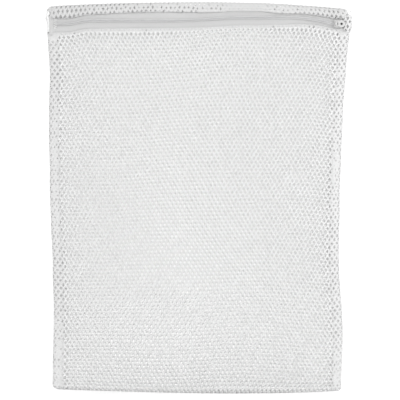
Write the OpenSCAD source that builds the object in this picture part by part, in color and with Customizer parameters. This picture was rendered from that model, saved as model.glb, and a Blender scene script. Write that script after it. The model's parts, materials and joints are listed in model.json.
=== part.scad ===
// Mesh laundry bag with a coil zip along the top of its front face.
// X runs along the zip, +Y is the back of the bag and +Z is up.
// The origin is on the floor under the middle of the bag, halfway through its depth.

/* [Bag] */
// Height from the bottom fold to the top fold
bag_height = 400; // [360:5:450]
// Width across the zip, where the bag is widest
top_width = 311; // [280:1:340]
// Width at the waist, where the sides are pulled in
waist_width = 296; // [270:1:320]
// Width at the bottom fold
bottom_width = 297; // [270:1:320]
// Height of the waist above the bottom fold
waist_height = 145; // [100:5:200]
// Radius of the two top corners
corner_r = 9; // [4:1:14]
// Thickness of the knitted net
net_t = 0.8; // [0.4:0.1:1.2]
// Gap between the front and back faces along the seams and folds
face_gap = 3.85; // [3.8:0.05:6]

/* [Loft of the front face] */
// How far the middle of the front face stands forward
loft = 15; // [8:1:22]
// Distance over which the face rises from its hem
loft_ramp = 110; // [60:5:140]
// Flat hem around the front face
hem = 5; // [4:0.5:10]

/* [Side seams] */
// Thickness of the seam between front and back
seam_t = 1; // [0.6:0.1:2]
// Width of the seam allowance that is turned inside
allowance = 10; // [8:1:14]
// Width of the overlock stitching that binds the allowance
overlock_w = 4; // [3:0.5:5]

/* [Zip] */
// Distance from the top fold down to the closed coils
zip_drop = 22; // [19:0.5:26]
// Width of each half of the tape
tape_w = 9.5; // [9:0.5:11.5]
// Thickness of the tape
tape_t = 0.6; // [0.4:0.1:0.8]
// Visible tape between the coils and the net above them
upper_reveal = 6.5; // [5.5:0.5:8]
// Visible tape between the coils and the net below them
lower_reveal = 7.5; // [6:0.5:9]
// Length of tape that stands out past the side seam
tape_tail = 1.5; // [1:0.5:4]
// Width of one coil, half of the closed pair
coil_w = 1.75; // [1.5:0.05:2.2]
// Height of a coil above its tape
coil_h = 2.05; // [1.6:0.05:2.4]
// Radius of the filler cord inside each coil
cord_r = 0.4; // [0.3:0.05:0.5]
// Radius of the thread that holds each coil to its tape
coil_thread_r = 0.14; // [0.1:0.01:0.15]

/* [Slider] */
// Distance from the middle of the bag to the slider when the zip is closed
slider_x = 143.7; // [120:0.1:143.7]
// Length of the slider along the zip
slider_l = 9; // [8.5:0.5:10]
// Width of the slider across the zip
slider_w = 8; // [7.5:0.5:9]
// Thickness of each slider plate
plate_t = 1; // [0.8:0.1:1.2]
// Clearance between the slider and the tape or the coils
slide_gap = 0.25; // [0.15:0.05:0.35]
// Radius of the locking pin set in the front plate
lock_r = 1; // [0.6:0.05:1.1]

/* [Pull] */
// Distance from the hinge to the hole in the pull
pull_reach = 5.6; // [5:0.1:12]
// Radius of the rounded end of the pull
pull_r = 3.6; // [3:0.1:4]
// Radius of the hole in the pull
pull_hole_r = 1.25; // [0.8:0.05:1.5]
// Thickness of the pull
pull_t = 1.2; // [1:0.1:1.4]
// Radius of the cross pin that the pull hangs from
pin_r = 0.6; // [0.5:0.05:0.7]
// Clearance around the cross pin
pin_gap = 0.05; // [0.03:0.01:0.1]

/* [Stitching] */
// Distance from one stitch to the next
stitch_pitch = 3.2; // [2.5:0.1:5]
// Visible length of a stitch
stitch_l = 2.4; // [1.5:0.1:2.4]
// Radius of the sewing thread
thread_r = 0.22; // [0.15:0.01:0.3]
// Distance of a row of stitches from the edge that it holds
stitch_inset = 1.6; // [1:0.1:3]
// Number of thread bars in a bar tack
tack_bars = 13; // [7:2:15]
// Distance between the thread bars of a tack
tack_pitch = 0.8; // [0.7:0.05:1]
// Length of the thread bars of a tack
tack_l = 2.6; // [2:0.1:3]

/* [Hidden] */

$fn = 48;
clear = 0.05;                                  // gap left between soft parts that touch
side_steps = 16;                               // straight pieces in each side of the outline
corner_angles = [18 : 18 : 90];                // points round a top corner
columns = 24;                                  // cells of the front face across
rows = 30;                                     // cells of the front face up

// Depths, measured along Y
back_out = (2 * net_t + face_gap + loft) / 2;  // outside of the back face
back_in = back_out - net_t;                    // inside of the back face
front_in = back_in - face_gap;                 // inside of the front face at its hem
front_out = front_in - net_t;                  // outside of the front face at its hem
fold_r = (face_gap + 2 * net_t) / 2;           // outer radius of the top and bottom folds
fold_y = back_out - fold_r;                    // middle of the folds
tape_front = front_in + clear;                 // front of the tape
tape_back = tape_front + tape_t;               // back of the tape
coil_back = tape_front - clear;                // back of the coils
coil_front = coil_back - coil_h;               // front of the coils
coil_mid = coil_back - coil_h / 2;             // axis of the coils
allowance_y = back_in - face_gap / 2;          // middle of the turned-in allowance

// Heights
zip_z = bag_height - zip_drop;                 // line where the coils meet
band_z = zip_z + upper_reveal;                 // lower edge of the net above the zip
front_top = zip_z - lower_reveal;              // upper edge of the front face
front_bottom = fold_r + clear;                 // lower edge of the front face
seam_top = zip_z - tape_w - 2;                 // the side seams end below the tape
tape_edge = 0.95;                              // from the zip line to the edge of each tape
coil_z = clear / 2 + coil_w / 2;               // from the zip line to the axis of each coil
groove_z = coil_z + coil_w / 5;                // from the zip line to the groove for a coil's thread
groove_w = 2 * (coil_thread_r + clear);        // width and depth of that groove

// Stations along the zip
zip_half = half_width(zip_z);                  // half of the bag's width at the zip
left_tack_x = -zip_half + 8;                   // middle of the left bar tack
right_tack_x = zip_half - 3;                   // middle of the right bar tack
coil_start = left_tack_x + tack_l / 2 + 0.3;   // left end of the coils
wedge_x = slider_x + 2.6;                      // middle of the wedge that parts the coils
wedge_l = 4;                                   // length of the wedge
wedge_w = 1.6;                                 // width of the wedge
coil_end = wedge_x - wedge_l / 2 - 0.2;        // right end of the coils

// Slider and pull
plate_in = coil_front - slide_gap;             // inside of the front plate
plate_out = plate_in - plate_t;                // outside of the front plate
rear_in = tape_back + slide_gap;               // inside of the rear plate
flange_t = 1.2;                                // thickness of the flanges beside the coils
flange_z = coil_w + clear + slide_gap;         // from the zip line to each flange
pull_x = slider_x - 2.5;                       // hinge of the pull, along the zip
lug_r = pin_r + pin_gap + 0.65;                // outer radius of the lug round the pin
lug_w = 2.4;                                   // width of the lug
pull_y = plate_out - lug_r + 0.1;              // hinge of the pull, in depth
arm_in = lug_w / 2 + 0.1;                      // inside of each arm of the pull
arm_out = arm_in + 1.2;                        // outside of each arm of the pull
web_x = lug_r + 0.8;                           // where the arms join the pull
lock_x = slider_x + 3.1;                       // locking pin, under the hole of the closed pull
lock_depth = 0.8 * plate_t;                    // depth of its seat in the front plate

net_colour = [0.93, 0.93, 0.93];
tape_colour = [0.84, 0.84, 0.84];
coil_colour = [0.76, 0.76, 0.77];
thread_colour = [0.88, 0.88, 0.88];
slider_colour = [0.90, 0.90, 0.90];
pin_colour = [0.20, 0.20, 0.21];

function clamp01(v) = max(0, min(1, v));

// Half of the bag's width at height z, with a soft waist and rounded top corners
function side_curve(z) = z > waist_height
    ? waist_width + (top_width - waist_width) * pow((z - waist_height) / (bag_height - waist_height), 2)
    : waist_width + (bottom_width - waist_width) * pow((waist_height - z) / waist_height, 2);
function corner_cut(z) = z > bag_height - corner_r
    ? corner_r - sqrt(max(0, pow(corner_r, 2) - pow(z - bag_height + corner_r, 2)))
    : 0;
function half_width(z) = side_curve(z) / 2 - corner_cut(z);

// Heights at which the outline has a point: even steps up the side, then round the corner
function side_heights(z0, z1) = [for (i = [0 : side_steps]) z0 + (z1 - z0) * i / side_steps];
outline_heights = concat(
    side_heights(0, bag_height - corner_r),
    [for (a = corner_angles) bag_height - corner_r + corner_r * sin(a)]
);

function reversed(list) = [for (i = [len(list) - 1 : -1 : 0]) list[i]];

// Forward bulge of the front face at x and z
function rise(d) = sin(90 * clamp01((d - hem) / loft_ramp));
function bulge(x, z) =
    loft * rise(half_width(z) - abs(x)) * rise(min(z - front_bottom, front_top - z));

// A 2D shape in X and Z, made into a slab between two depths
module slab(y0, y1) {
    translate([0, y1, 0])
        rotate([90, 0, 0])
            linear_extrude(y1 - y0)
                children();
}

// A 2D shape in Y and Z, run along X
module run(x0, x1) {
    translate([x0, 0, 0])
        rotate([90, 0, 90])
            linear_extrude(x1 - x0)
                children();
}

// Outline of the bag seen from the front
module outline() {
    polygon(concat(
        [for (z = outline_heights) [half_width(z), z]],
        [for (z = reversed(outline_heights)) [-half_width(z), z]]
    ));
}

// Strip along one side seam, between two distances in from the edge
module side_strip(side, from, to, z0, z1) {
    heights = side_heights(z0, z1);
    polygon(concat(
        [for (z = heights) [side * (half_width(z) - from), z]],
        [for (z = reversed(heights)) [side * (half_width(z) - to), z]]
    ));
}

// Half of a tube wall: up is 1 for the top fold and -1 for the bottom fold
module fold_section(up) {
    difference() {
        circle(fold_r);
        circle(fold_r - net_t);
        translate([-bag_height / 2, up > 0 ? -bag_height : 0])
            square(bag_height);
    }
}

// Row of stitches along the zip, on a face at depth y
module stitch_row(y, z) {
    count = floor((2 * zip_half - 30) / stitch_pitch);
    for (i = [0 : count - 1])
        translate([(i - (count - 1) / 2) * stitch_pitch, y - thread_r - clear, z])
            rotate([0, 90, 0])
                cylinder(h = stitch_l, r = thread_r, center = true);
}

// Bar tack: short thread bars stacked across the end of the zip
module bar_tack(x) {
    for (i = [0 : tack_bars - 1])
        translate([x, front_in - 0.35, zip_z + (i - (tack_bars - 1) / 2) * tack_pitch])
            rotate([0, 90, 0])
                cylinder(h = tack_l, r = 0.3, center = true);
}

// Half of the tape, above or below the zip line
module tape(up, x0, x1) {
    run(x0, x1)
        translate([tape_front, up > 0 ? zip_z + tape_edge : zip_z - tape_edge - tape_w])
            square([tape_t, tape_w]);
}

// Envelope of one coil, bored for its filler cord and grooved for its sewing thread
module coil(up) {
    run(coil_start, coil_end)
        difference() {
            translate([coil_front, zip_z + up * coil_z - coil_w / 2])
                square([coil_h, coil_w]);
            translate([coil_mid, zip_z + up * coil_z])
                circle(cord_r + clear);
            translate([coil_front, zip_z + up * groove_z])
                square(2 * groove_w, center = true);
        }
}

// Filler cord through one coil
module filler_cord(up) {
    run(coil_start, coil_end)
        translate([coil_mid, zip_z + up * coil_z])
            circle(cord_r);
}

// Sewing thread that lies in the groove along one coil
module coil_thread(up) {
    run(coil_start, coil_end)
        translate([coil_front + groove_w - coil_thread_r - clear, zip_z + up * groove_z])
            circle(coil_thread_r);
}

// Overlock stitching that wraps the inner edge of a seam allowance
module overlock(side) {
    difference() {
        slab(allowance_y - 1, allowance_y + 1)
            side_strip(side, allowance - overlock_w, allowance + 0.6, 8, seam_top - 1);
        slab(allowance_y - net_t / 2 - clear, allowance_y + net_t / 2 + clear)
            side_strip(side, 0, allowance + clear, 4, seam_top + 4);
    }
}

// Plate with rounded corners, flat in X and Z
module rounded_plate(l, w, r) {
    square([l - 2 * r, w], center = true);
    square([l, w - 2 * r], center = true);
    for (x = [-1, 1], z = [-1, 1])
        translate([x * (l / 2 - r), z * (w / 2 - r)])
            circle(r);
}

module front_mesh_panel() {
    across = columns + 1;
    layer = across * (rows + 1);
    // the first and the last row of cells are the flat hem
    function row_z(j) = j == 0 ? front_bottom
        : j == rows ? front_top
        : front_bottom + hem + (front_top - front_bottom - 2 * hem) * (j - 1) / (rows - 2);
    // point (i, j) of the outer layer, then of the inner layer
    points = [for (depth = [front_out, front_in], j = [0 : rows], i = [0 : columns])
        let (z = row_z(j))
        let (x = half_width(z) * (2 * i / columns - 1))
        [x, depth - bulge(x, z), z]];
    function at(i, j) = i + across * j;
    outer = [for (j = [0 : rows - 1], i = [0 : columns - 1])
        each [[at(i, j), at(i, j + 1), at(i + 1, j + 1)],
              [at(i, j), at(i + 1, j + 1), at(i + 1, j)]]];
    inner = [for (f = outer) [f[0] + layer, f[2] + layer, f[1] + layer]];
    border = concat(
        [for (i = [0 : columns]) at(i, 0)],
        [for (j = [1 : rows]) at(columns, j)],
        [for (i = [columns - 1 : -1 : 0]) at(i, rows)],
        [for (j = [rows - 1 : -1 : 1]) at(0, j)]
    );
    rim = [for (k = [0 : len(border) - 1])
        let (a = border[k], b = border[(k + 1) % len(border)])
        each [[a, b, b + layer], [a, b + layer, a + layer]]];
    color(net_colour)
        polyhedron(points, concat(outer, inner, rim));
}

module back_mesh_panel() {
    color(net_colour) {
        // the back face, the bottom fold, the top fold and the band that comes down to the zip
        intersection() {
            run(-top_width, top_width) {
                translate([back_in, fold_r])
                    square([net_t, bag_height - 2 * fold_r]);
                translate([fold_y, fold_r])
                    fold_section(-1);
                translate([fold_y, bag_height - fold_r])
                    fold_section(1);
                translate([front_out, band_z])
                    square([net_t, bag_height - fold_r - band_z]);
            }
            slab(front_out - 1, back_out + 1)
                outline();
        }
        // the side seams, with their allowance turned inside
        for (side = [-1, 1]) {
            slab(front_in + clear, back_in)
                side_strip(side, 0, seam_t, fold_r, seam_top);
            slab(allowance_y - net_t / 2, allowance_y + net_t / 2)
                side_strip(side, 0, allowance, 4, seam_top);
        }
    }
}

module left_seam_overlock() {
    color(thread_colour) overlock(-1);
}

module right_seam_overlock() {
    color(thread_colour) overlock(1);
}

module upper_zipper_tape() {
    color(tape_colour) tape(1, -zip_half - tape_tail, zip_half - 1);
}

module lower_zipper_tape() {
    color(tape_colour) tape(-1, -zip_half + 1, zip_half + tape_tail);
}

module upper_zipper_coil() {
    color(coil_colour) coil(1);
}

module lower_zipper_coil() {
    color(coil_colour) coil(-1);
}

module upper_filler_cord() {
    color(thread_colour) filler_cord(1);
}

module lower_filler_cord() {
    color(thread_colour) filler_cord(-1);
}

module upper_coil_stitching() {
    color(thread_colour) coil_thread(1);
}

module lower_coil_stitching() {
    color(thread_colour) coil_thread(-1);
}

module upper_tape_stitching() {
    color(thread_colour) stitch_row(front_out, band_z + stitch_inset);
}

module lower_tape_stitching() {
    color(thread_colour) stitch_row(front_out, front_top - stitch_inset);
}

module left_bar_tack() {
    color(thread_colour) bar_tack(left_tack_x);
}

module right_bar_tack() {
    color(thread_colour) bar_tack(right_tack_x);
}

module slider_body() {
    color(slider_colour)
        difference() {
            union() {
                // front and rear plates
                slab(plate_out, plate_in)
                    translate([slider_x, zip_z])
                        rounded_plate(slider_l, slider_w, 2);
                slab(rear_in, rear_in + plate_t)
                    translate([slider_x, zip_z])
                        rounded_plate(slider_l, slider_w - 1, 2);
                // flanges that keep the coils in the channel
                for (side = [-1, 1])
                    slab(plate_in, tape_front - slide_gap)
                        translate([slider_x, zip_z + side * (flange_z + flange_t / 2)])
                            square([slider_l - 3, flange_t], center = true);
                // wedge that joins the plates and parts the coils
                slab(plate_in, rear_in)
                    translate([wedge_x, zip_z])
                        polygon([[-wedge_l / 2, 0], [0, wedge_w / 2], [wedge_l / 2, 0], [0, -wedge_w / 2]]);
                // lug that carries the pull
                translate([pull_x, pull_y, zip_z - lug_w / 2])
                    linear_extrude(lug_w) {
                        circle(lug_r);
                        translate([-lug_r, 0])
                            square([2 * lug_r, plate_in - pull_y]);
                    }
            }
            // bore of the lug
            translate([pull_x, pull_y, zip_z - lug_w])
                cylinder(h = 2 * lug_w, r = pin_r + pin_gap);
            // seat of the locking pin
            translate([lock_x, plate_out + lock_depth, zip_z])
                rotate([90, 0, 0])
                    cylinder(h = 2 * lock_depth, r = lock_r + clear);
        }
}

module locking_pin() {
    color(pin_colour)
        translate([lock_x, plate_out + lock_depth - clear, zip_z])
            rotate([90, 0, 0])
                cylinder(h = lock_depth - 3 * clear, r = lock_r);
}

module slider_pull() {
    color(slider_colour) {
        // cross pin through the lug
        translate([pull_x, pull_y, zip_z - arm_out])
            cylinder(h = 2 * arm_out, r = pin_r);
        // two arms and the rounded tab, with a hole
        slab(pull_y - pull_t / 2, pull_y + pull_t / 2)
            translate([pull_x, zip_z])
                difference() {
                    union() {
                        polygon([
                            [0, arm_out], [web_x, arm_out], [pull_reach, pull_r],
                            [pull_reach, -pull_r], [web_x, -arm_out], [0, -arm_out]
                        ]);
                        translate([pull_reach, 0])
                            circle(pull_r);
                    }
                    translate([-1, -arm_in])
                        square([web_x + 1, 2 * arm_in]);
                    translate([pull_reach, 0])
                        circle(pull_hole_r);
                }
    }
}

front_mesh_panel();
back_mesh_panel();
left_seam_overlock();
right_seam_overlock();
upper_zipper_tape();
lower_zipper_tape();
upper_zipper_coil();
lower_zipper_coil();
upper_filler_cord();
lower_filler_cord();
upper_coil_stitching();
lower_coil_stitching();
upper_tape_stitching();
lower_tape_stitching();
left_bar_tack();
right_bar_tack();
slider_body();
locking_pin();
slider_pull();
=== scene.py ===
import json
import math

import bpy
import numpy as np
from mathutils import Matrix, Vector


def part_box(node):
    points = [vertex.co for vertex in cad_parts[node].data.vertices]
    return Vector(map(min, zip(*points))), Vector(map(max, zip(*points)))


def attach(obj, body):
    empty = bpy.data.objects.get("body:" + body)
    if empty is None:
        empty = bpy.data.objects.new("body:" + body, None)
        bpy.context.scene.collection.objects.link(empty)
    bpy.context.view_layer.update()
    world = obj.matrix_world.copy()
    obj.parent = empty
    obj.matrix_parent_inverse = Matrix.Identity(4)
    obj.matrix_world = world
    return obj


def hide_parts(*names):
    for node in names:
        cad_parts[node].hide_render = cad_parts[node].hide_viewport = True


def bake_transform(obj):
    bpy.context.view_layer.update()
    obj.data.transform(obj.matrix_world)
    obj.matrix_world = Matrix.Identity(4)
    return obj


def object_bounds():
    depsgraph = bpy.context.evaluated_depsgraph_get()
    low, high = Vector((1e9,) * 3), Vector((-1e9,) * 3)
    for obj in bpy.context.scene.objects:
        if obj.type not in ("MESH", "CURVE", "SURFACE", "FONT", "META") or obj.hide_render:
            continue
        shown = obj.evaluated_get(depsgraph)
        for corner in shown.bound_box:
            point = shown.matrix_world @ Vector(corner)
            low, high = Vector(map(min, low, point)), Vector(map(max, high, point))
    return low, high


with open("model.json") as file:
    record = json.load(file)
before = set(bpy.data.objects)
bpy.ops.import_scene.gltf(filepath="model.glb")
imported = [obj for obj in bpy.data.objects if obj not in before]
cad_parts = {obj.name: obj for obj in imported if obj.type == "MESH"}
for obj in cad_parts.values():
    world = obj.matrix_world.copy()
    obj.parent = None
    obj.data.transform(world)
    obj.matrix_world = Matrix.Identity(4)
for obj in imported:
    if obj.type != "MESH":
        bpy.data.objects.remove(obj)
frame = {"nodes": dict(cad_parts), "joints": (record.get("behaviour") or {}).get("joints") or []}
cad_low, cad_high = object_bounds()

# Everything is worked out in millimetres in the CAD's frame and turned into metres in add_piece().
MM = 0.001
rng = np.random.default_rng(7)


def cad(node):
    """Lowest and highest corner of a CAD node, in millimetres."""
    low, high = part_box(node)
    return np.array(low) / MM, np.array(high) / MM


# ---------------- sizes from the frame

back_low, back_high = cad("back_mesh_panel")
_, front_high = cad("front_mesh_panel")
tape_low, tape_high = cad("upper_zipper_tape")
_, low_tape_high = cad("lower_zipper_tape")
coil_low, coil_high = cad("upper_zipper_coil")
_, low_coil_high = cad("lower_zipper_coil")
slider_low, slider_high = cad("slider_body")
left_tack_low, left_tack_high = cad("left_bar_tack")
right_tack_low, right_tack_high = cad("right_bar_tack")

SHEET = 0.8  # thickness of the CAD's net panels
HEIGHT = back_high[2]
BACK_Y = back_high[1] - SHEET / 2  # middle of the back face
HEM_Y = back_low[1] + SHEET / 2  # middle of the front face at its hem
ZIP_Z = (coil_low[2] + low_coil_high[2]) / 2  # height of the zip at its ends
HEM_Z = front_high[2]  # top edge of the front face
TAPE_Y = (tape_low[1] + tape_high[1]) / 2
SLIDER_X = (slider_low[0] + slider_high[0]) / 2
ZIP_TRAVEL = next(j for j in frame["joints"] if j["name"] == "zip_travel")["range_m"][1] / MM

# ---------------- outline of the bag

HALF = 150.0  # half of the net's nominal width
TOP_HALF = 153.7  # half width at the top fold
WAIST_HALF = 146.7  # half width at the waist
BOTTOM_HALF = 148.0  # half width at the bottom fold
WAIST_Z = 135.0
TOP_CORNER_R = {-1: 5.0, 1: 8.0}  # radii of the left and the right top corner
BOTTOM_CORNER_R = {-1: 5.0, 1: 2.5}
ZIP_WIDENS = 2.4  # how much the stiff zip spreads the net beside it
ZIP_SPREAD = 27.0
LOW_WIDENS = 0.9  # how much the net spreads a little above the bottom fold
LOW_WIDE_Z = 58.0
LOW_SPREAD = 28.0
BULGE = {-1: 1.6, 1: 0.9}  # how far the ends of the zip push the side seams out
BULGE_Z = {-1: 387.0, 1: 377.5}
BULGE_SPREAD = 3.5
TOP_LEAN = 1.0  # sideways drift of the bag's centre line at the top
WAIST_LEAN = -3.1  # and at mid height
LEAN_Z = 205.0
LEAN_SPREAD = 120.0
BOTTOM_LEAN = -2.6  # and at the bottom fold
BOTTOM_LEAN_Z = 65.0
UNEVEN = ((0.2, 13.0, 1), (0.15, 7.3, 2))  # height, length and phase of the side seams' unevenness


def smooth(t):
    """0 below 0 and 1 above 1, with a smooth rise between."""
    t = np.clip(t, 0.0, 1.0)
    return t * t * (3 - 2 * t)


def eased(x, start, length):
    """The same rise from start to start + length."""
    return smooth((x - start) / length)


def near(distance, reach, soft):
    """1 close by, easing to 0 over the last soft millimetres of its reach."""
    return smooth((reach - distance) / soft)


def hill(distance, spread):
    """1 in the middle, fading away on both sides."""
    return np.exp(-((distance / spread) ** 2))


def half_width(z, side):
    """Width of the bag at height z on one side: a waist, rounded corners, a bulge at the zip's end."""
    up = WAIST_HALF + (TOP_HALF - WAIST_HALF) * (z - WAIST_Z) / (HEIGHT - WAIST_Z)
    down = WAIST_HALF + (BOTTOM_HALF - WAIST_HALF) * (WAIST_Z - z) / WAIST_Z
    radius = TOP_CORNER_R[side]
    into_corner = np.clip(z - HEIGHT + radius, 0, radius)
    cut = radius - np.sqrt(radius**2 - into_corner**2)
    radius = BOTTOM_CORNER_R[side]
    into_corner = np.clip(radius - z, 0, radius)
    cut = cut + radius - np.sqrt(radius**2 - into_corner**2)
    wider = ZIP_WIDENS * hill(np.minimum(z - ZIP_Z, 0), ZIP_SPREAD)
    wider = wider + LOW_WIDENS * hill(z - LOW_WIDE_Z, LOW_SPREAD)
    bulge = BULGE[side] * hill(z - BULGE_Z[side], BULGE_SPREAD)
    uneven = sum(height * np.sin(z / length + phase * side) for height, length, phase in UNEVEN)
    return np.where(z > WAIST_Z, up, down) + wider + bulge + uneven - cut


def lean(z):
    """Sideways drift of the bag's centre line."""
    waist = np.exp(-(np.abs((z - LEAN_Z) / LEAN_SPREAD) ** 3))
    bottom = np.clip(1 - z / BOTTOM_LEAN_Z, 0, 1)
    return TOP_LEAN + (WAIST_LEAN - TOP_LEAN) * waist + BOTTOM_LEAN * bottom


def across(u, z):
    """Place across the bag of the net's nominal station u, at height z."""
    return lean(z) + u / HALF * np.where(u < 0, half_width(z, -1), half_width(z, 1))


# ---------------- lines along the zip and the folds

ZIP_LEFT = SLIDER_X - ZIP_TRAVEL + 4  # the zip is level up to here, where the opened slider stops
ZIP_RIGHT = SLIDER_X - 5  # and from here on, where the closed slider stands
ZIP_RISE = 3.4  # how far the zip arches above that level
RISE_LENGTH = 22.0
ZIP_PEAK = 2.0  # how much more it rises in its right half
PEAK_START, PEAK_LENGTH = -10.0, 55.0
ZIP_SHIFT = 1.1  # by how much it also moves up between its two edges there
SHIFT_START, SHIFT_LENGTH = -30.0, 60.0
ZIP_FALL = 47.0  # length of its fall towards the slider


def zip_fall(x):
    """1 along most of the zip, falling to 0 where the closed slider stands."""
    return 1 - np.clip((x - ZIP_RIGHT + ZIP_FALL) / ZIP_FALL, 0, 1) ** 2


def edge_rise(x):
    """Height of the net's edges along the arched zip, above the slider's straight line."""
    rise = ZIP_RISE * eased(x, ZIP_LEFT, RISE_LENGTH) + ZIP_PEAK * eased(x, PEAK_START, PEAK_LENGTH)
    return rise * zip_fall(x)


def zip_rise(x):
    """Height of the arched zip itself above that line."""
    return edge_rise(x) + ZIP_SHIFT * eased(x, SHIFT_START, SHIFT_LENGTH) * zip_fall(x)


HEM_GAP = 6.8  # from the zip down to the front face's edge, at mid-width
HEM_NARROWS = 0.010  # by how much that narrows for each millimetre to the right
HEM_GAP_RIGHT = 4.3  # the same gap beside the slider
HEM_RIGHT_START, HEM_RIGHT_LENGTH = 75.0, 50.0
BAND_GAP = 7.8  # from the zip up to the band's edge
BAND_CLOSER = 3.4  # by how much that is less at both ends
BAND_LEFT_START, BAND_LEFT_LENGTH = 40.0, 100.0
BAND_RIGHT_START, BAND_RIGHT_LENGTH = 60.0, 35.0


def hem_line(x):
    """Height of the front face's upper edge: far below the zip at the left, close to it at the right."""
    gap = HEM_GAP - HEM_NARROWS * x
    gap = gap + (HEM_GAP_RIGHT - gap) * eased(x, HEM_RIGHT_START, HEM_RIGHT_LENGTH)
    return ZIP_Z + edge_rise(x) - gap


def band_line(x):
    """Height of the lower edge of the net above the zip, which comes close to it at both ends."""
    near_left = eased(-x, BAND_LEFT_START, BAND_LEFT_LENGTH)
    near_right = eased(x, BAND_RIGHT_START, BAND_RIGHT_LENGTH)
    return ZIP_Z + edge_rise(x) + BAND_GAP - BAND_CLOSER * np.maximum(near_left, near_right)


# A fold's curve on its left and its right side: height at the far end, distance to it and power
TOP_X = 12.0  # where the top fold is highest
TOP_RAISED = 0.3  # how far it stands above the CAD's there
TOP_CURVES = ((3.6, 155.0, 2.5), (6.4, 135.0, 2.0))
BOTTOM_X = 28.0  # where the bottom fold is lowest
BOTTOM_CURVES = ((4.3, 178.0, 1.6), (2.8, 122.0, 2.5))
BOTTOM_FADE = 8  # how soon the net above forgets the bottom's curve


def fold_curve(t, curves):
    """Height of a fold's curve at the distance t from its middle."""
    left, right = (height * (np.abs(t) / reach) ** power for height, reach, power in curves)
    return np.where(t < 0, left, right)


def top_drop(x):
    """How far the top fold falls away from the CAD's straight one."""
    return fold_curve(x - TOP_X, TOP_CURVES) - TOP_RAISED


def bottom_lift(x):
    """How far the bottom fold rises towards its corners."""
    return fold_curve(x - BOTTOM_X, BOTTOM_CURVES)


def settled(x, z):
    """Height of a point of the flat pattern once its edges follow the folds and the zip."""
    share = np.clip(z / HEM_Z, 0, 1)
    lift = (hem_line(x) - HEM_Z) * share**2 + bottom_lift(x) * (1 - share) ** BOTTOM_FADE
    above = smooth((z - HEM_Z) / (HEIGHT - HEM_Z))
    return z + lift - (lift + top_drop(x)) * above


# ---------------- the faces as surfaces

NET_T = 0.75  # thickness of the knitted strands
PITCH = 4.45  # between hole centres along a row
ROW = 3.77  # between rows of holes
ROW_STEP = HEM_Z / round(HEM_Z / ROW)  # the same, so that whole rows fill the front face
LOFT = HEM_Y - SHEET / 2 - cad_low[1] / MM  # how far the front face stands forward of its hem
SEAM_GAP = 2.4  # between the two faces beside the side seams
EDGE_GAP = 0.8  # and at the very edge
BOTTOM_R = 1.3  # radius of the bottom fold
BAND_Y = HEM_Y - NET_T  # the band lies one layer in front of the hems
TOP_R = (BACK_Y - BAND_Y) / 2
CREASES_Z = (263.0, 97.0)  # where the bag was folded for storage
CREASE_WANDER, CREASE_WANDER_LENGTH = 3.0, 45.0
CREASE_X = 4.0  # the upright fold, shallower and shorter
UPRIGHT_WANDER, UPRIGHT_WANDER_LENGTH = 4.0, 38.0
UPRIGHT_DEPTH = 0.8
UPRIGHT_TOP, UPRIGHT_FADE = 330.0, 60.0
CREASE_SPREAD = 5.0  # how far a crease reaches to its sides
RIM = 30.0  # how far in from its edges a face reaches full loft


def creases(u, v):
    """Sharp ridges left by storage folds, wandering a little."""
    total = np.zeros_like(u)
    for z in CREASES_Z:
        line = v - z - CREASE_WANDER * np.sin(u / CREASE_WANDER_LENGTH + z)
        total += np.exp(-np.abs(line) / CREASE_SPREAD)
    line = u - CREASE_X - UPRIGHT_WANDER * np.sin(v / UPRIGHT_WANDER_LENGTH)
    total += UPRIGHT_DEPTH * np.exp(-np.abs(line) / CREASE_SPREAD) * near(v, UPRIGHT_TOP, UPRIGHT_FADE)
    return total


def inner(u, v):
    """1 well inside a face and 0 at its edges."""
    return smooth((HALF - np.abs(u)) / RIM) * smooth(v / RIM) * smooth((HEM_Z - v) / RIM)


SHEET_COLUMNS, SHEET_ROWS = 48, 60  # cells of the simulated sheets
SLACK = 0.03  # how much longer their cloth is than their frame
FRAMES = 30
BLOW = 6.0  # pull that stands for air pressing from inside
START_LOFT, START_NOISE, START_CREASE = 2.0, 0.5, 1.2  # shape of the sheets before the simulation
FRONT_SEED, BACK_SEED = 3, 8


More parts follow.
